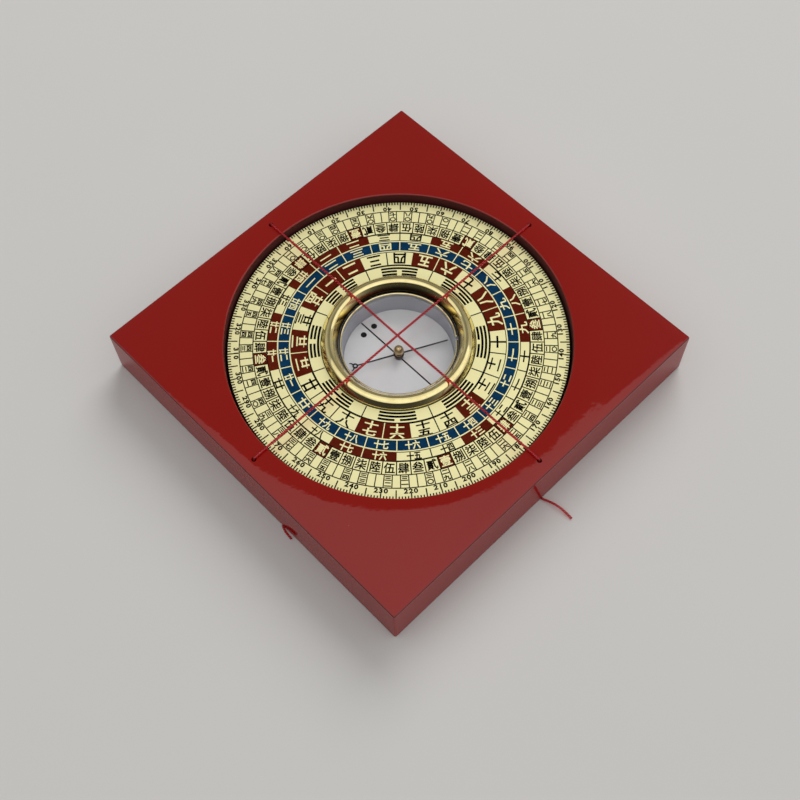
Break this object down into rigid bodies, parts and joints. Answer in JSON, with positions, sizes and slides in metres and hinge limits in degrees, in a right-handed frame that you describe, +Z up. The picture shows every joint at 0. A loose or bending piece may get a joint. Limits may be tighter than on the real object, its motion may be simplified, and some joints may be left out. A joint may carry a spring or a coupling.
{
  "type": "feng shui compass",
  "caption": "Feng shui compass: a square red lacquered block, a printed dial that turns in its well, a glazed needle compass in a brass bezel, and crossed red threads.",
  "frame": {"origin": "centre of the square block's underside, on the surface that it stands on", "axes": "+Z up through the dial's axis; +Y to the dial's 0 degree mark, +X to its 90 degree mark; X and Y square to the block's sides"},
  "size_m": [0.1011, 0.1087, 0.0158],
  "materials": {
    "red_lacquer": "gloss lacquer",
    "red_thread": "clear red monofilament",
    "dark_board": "satin",
    "pale_gold_sheet": "printed satin",
    "polished_brass": "polished",
    "pale_grey_cup": "satin",
    "white_card": "matt",
    "clear_glass": "clear",
    "pin_steel": "satin",
    "blued_steel": "blued",
    "cap_brass": "polished"
  },
  "bodies": {
    "base": {"base_block": "red_lacquer", "thread_north_south": "red_thread", "thread_east_west": "red_thread"},
    "dial": {"dial_board": "dark_board", "dial_plate": "pale_gold_sheet", "bezel_ring": "polished_brass", "pool_cup": "pale_grey_cup", "floor_card": "white_card", "cover_glass": "clear_glass", "retaining_wire": "polished_brass", "pivot_pin": "pin_steel"},
    "needle": {"needle": "blued_steel", "needle_cap": "cap_brass"}
  },
  "joints": [
    {"name": "dial_turn", "type": "hinge", "parent": "base", "child": "dial", "pos_m": [0, 0, 0.0032], "axis": [0, 0, 1], "continuous": true},
    {"name": "needle_swing", "type": "hinge", "parent": "dial", "child": "needle", "pos_m": [0, 0, 0.0084], "axis": [0, 0, 1], "continuous": true}
  ]
}
